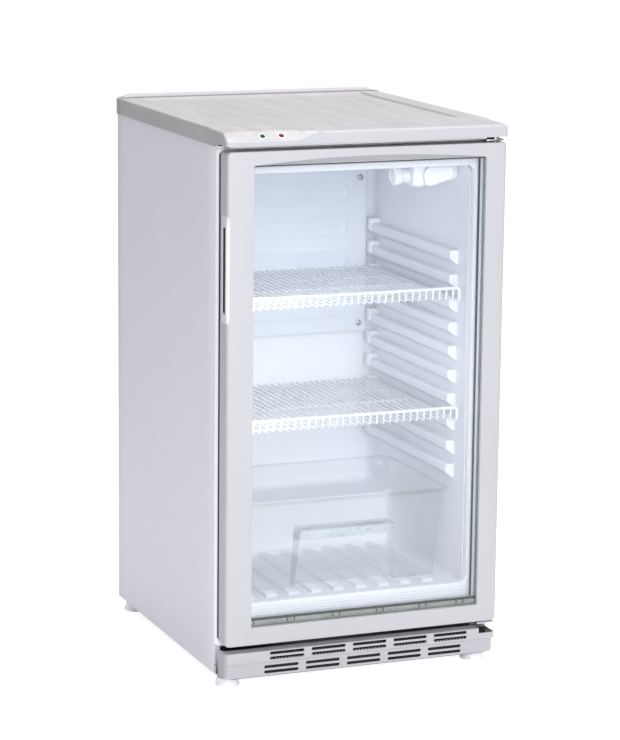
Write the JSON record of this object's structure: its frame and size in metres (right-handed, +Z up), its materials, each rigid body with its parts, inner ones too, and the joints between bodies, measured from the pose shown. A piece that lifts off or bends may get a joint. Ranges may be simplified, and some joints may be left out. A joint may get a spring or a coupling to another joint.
{
  "type": "glass door merchandiser",
  "caption": "Counter-height glass door cooler with wire shelves, a clear drawer, a ventilated kick plate and levelling feet, with its compressor and condenser at the back.",
  "frame": {"origin": "on the floor under the middle of the cabinet", "axes": "+Z up, the door faces -Y, +X to the right of someone who faces the door, on the hinge side"},
  "size_m": [0.504, 0.57, 0.95],
  "materials": {
    "cabinet_paint": "fine-textured light grey paint, satin",
    "lid_plastic": "finely grained light grey moulding",
    "white_enamel": "smooth white enamel",
    "door_plastic": "smooth light grey extrusion, semi-gloss",
    "inner_plastic": "vacuum-formed white, semi-gloss",
    "grille_plastic": "light grey moulding, satin",
    "handle_plastic": "grey moulding, satin",
    "gasket_rubber": "soft grey magnetic seal",
    "pane_glass": "clear float glass",
    "spacer_aluminium": "matt extruded aluminium, perforated",
    "shelf_wire": "white dip-coated steel wire",
    "clear_plastic": "clear moulded polystyrene",
    "diffuser_plastic": "milky white, glossy",
    "evaporator_paint": "white-lacquered roll-bond aluminium",
    "green_lens": "clear green lens",
    "red_lens": "clear red lens",
    "foot_plastic": "milky white moulding",
    "zinc_steel": "zinc-plated sheet",
    "black_enamel": "black semi-gloss enamel",
    "black_plastic": "black moulding, matt",
    "copper": "drawn copper tube, slightly tarnished",
    "foam": "rigid polyurethane foam"
  },
  "bodies": {
    "cabinet": {"left_side_panel": "cabinet_paint", "right_side_panel": "cabinet_paint", "rear_panel": "cabinet_paint", "underside_panel": "zinc_steel", "base_pan": "zinc_steel", "rear_crossbar": "zinc_steel", "cord_gland": "black_plastic", "top_cover": "lid_plastic", "indicator_green": "green_lens", "indicator_red": "red_lens", "front_frame": "white_enamel", "breaker_frame": "inner_plastic", "inner_liner": "inner_plastic", "foam_insulation": "foam", "evaporator_plate": "evaporator_paint", "evaporator_screw_1": "zinc_steel", "evaporator_screw_2": "zinc_steel", "evaporator_screw_3": "zinc_steel", "evaporator_screw_4": "zinc_steel", "lamp_housing": "inner_plastic", "lamp_diffuser": "diffuser_plastic", "lamp_tube": "diffuser_plastic", "thermostat": "zinc_steel", "top_hinge_bracket": "zinc_steel", "bottom_hinge_bracket": "zinc_steel", "top_hinge_pin": "zinc_steel", "bottom_hinge_pin": "zinc_steel", "vent_grille": "grille_plastic", "compressor": "black_enamel", "compressor_mount": "zinc_steel", "compressor_relay_box": "black_plastic", "evaporation_pan": "black_plastic", "drain_tube": "diffuser_plastic", "condenser_coil": "black_enamel", "condenser_bracket_left": "black_enamel", "condenser_bracket_right": "black_enamel", "filter_drier": "copper", "discharge_tube": "copper", "suction_tube": "copper", "capillary_tube": "copper"},
    "door": {"door_frame": "door_plastic", "door_inner_frame": "inner_plastic", "outer_pane": "pane_glass", "inner_pane": "pane_glass", "pane_spacer": "spacer_aluminium", "door_gasket": "gasket_rubber", "door_handle": "handle_plastic", "top_hinge_bush": "black_plastic", "bottom_hinge_bush": "black_plastic"},
    "upper_shelf": {"upper_shelf": "shelf_wire"},
    "lower_shelf": {"lower_shelf": "shelf_wire"},
    "basket": {"basket": "clear_plastic"},
    "thermostat_knob": {"thermostat_knob": "diffuser_plastic"},
    "foot_front_left": {"foot_front_left": "foot_plastic"},
    "foot_front_right": {"foot_front_right": "foot_plastic"},
    "foot_rear_left": {"foot_rear_left": "foot_plastic"},
    "foot_rear_right": {"foot_rear_right": "foot_plastic"}
  },
  "joints": [
    {"name": "door_hinge", "type": "hinge", "parent": "cabinet", "child": "door", "pos_m": [0.236, -0.267, 0.495], "axis": [0, 0, 1], "range_deg": [0, 115]},
    {"name": "upper_shelf_slide", "type": "slide", "parent": "cabinet", "child": "upper_shelf", "axis": [0, -1, 0], "range_m": [0, 0.012]},
    {"name": "lower_shelf_slide", "type": "slide", "parent": "cabinet", "child": "lower_shelf", "axis": [0, -1, 0], "range_m": [0, 0.012]},
    {"name": "basket_slide", "type": "slide", "parent": "cabinet", "child": "basket", "axis": [0, -1, 0], "range_m": [0, 0.04]},
    {"name": "thermostat_turn", "type": "hinge", "parent": "cabinet", "child": "thermostat_knob", "pos_m": [0.105, -0.15, 0.843], "axis": [-1, 0, 0], "range_deg": [0, 270]},
    {"name": "foot_front_left_screw", "type": "hinge", "parent": "cabinet", "child": "foot_front_left", "pos_m": [-0.228, -0.237, 0.01], "axis": [0, 0, 1], "continuous": true},
    {"name": "foot_front_right_screw", "type": "hinge", "parent": "cabinet", "child": "foot_front_right", "pos_m": [0.228, -0.237, 0.01], "axis": [0, 0, 1], "continuous": true},
    {"name": "foot_rear_left_screw", "type": "hinge", "parent": "cabinet", "child": "foot_rear_left", "pos_m": [-0.228, 0.25, 0.01], "axis": [0, 0, 1], "continuous": true},
    {"name": "foot_rear_right_screw", "type": "hinge", "parent": "cabinet", "child": "foot_rear_right", "pos_m": [0.228, 0.25, 0.01], "axis": [0, 0, 1], "continuous": true}
  ]
}
